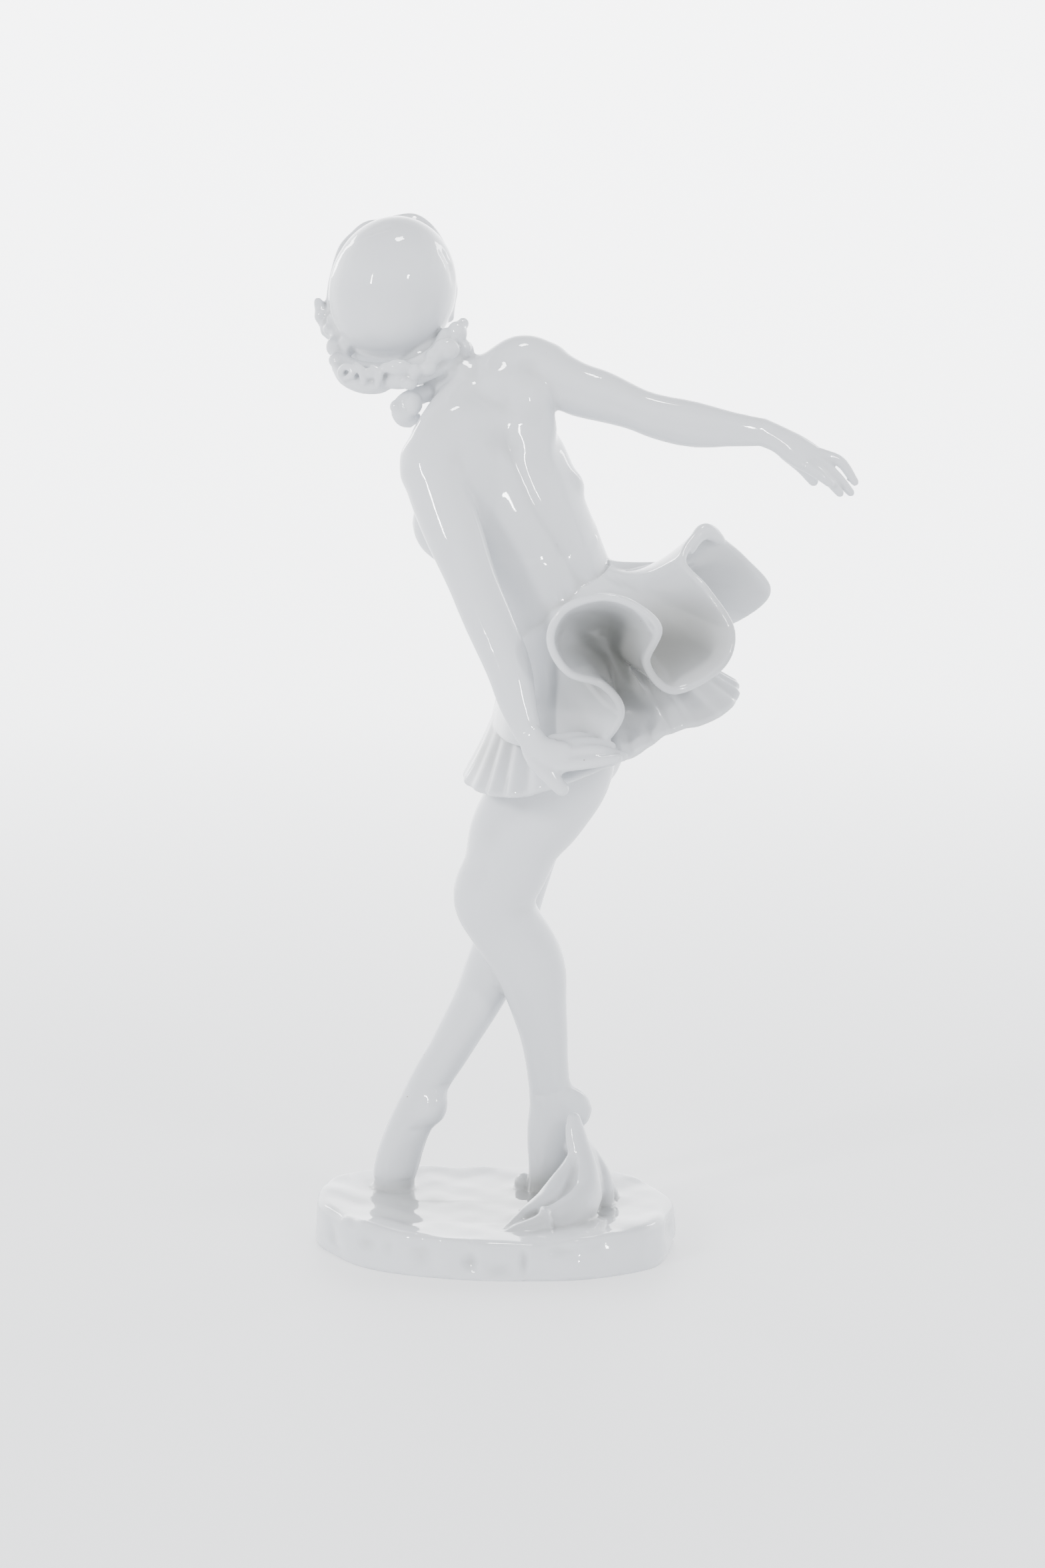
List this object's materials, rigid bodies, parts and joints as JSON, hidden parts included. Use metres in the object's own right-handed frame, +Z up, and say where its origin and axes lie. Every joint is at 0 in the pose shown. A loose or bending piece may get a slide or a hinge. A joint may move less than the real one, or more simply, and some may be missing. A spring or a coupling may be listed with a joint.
{
  "type": "porcelain dancer figurine",
  "caption": "Glazed porcelain dancer on an oval base: bowing, one arm stretched out, crossed legs on pointe, ruffled skirt over a ribbed petticoat, curls round a smooth cap of hair.",
  "frame": {"origin": "middle of the base's flat underside", "axes": "+Z up, +X towards the side of the stretched arm, -Y the side that the figure's back is turned to"},
  "size_m": [0.162, 0.1004, 0.3065],
  "materials": {
    "white_glaze": "glossy clear glaze over white porcelain"
  },
  "bodies": {
    "root": {"ballerina": "white_glaze"}
  },
  "joints": []
}
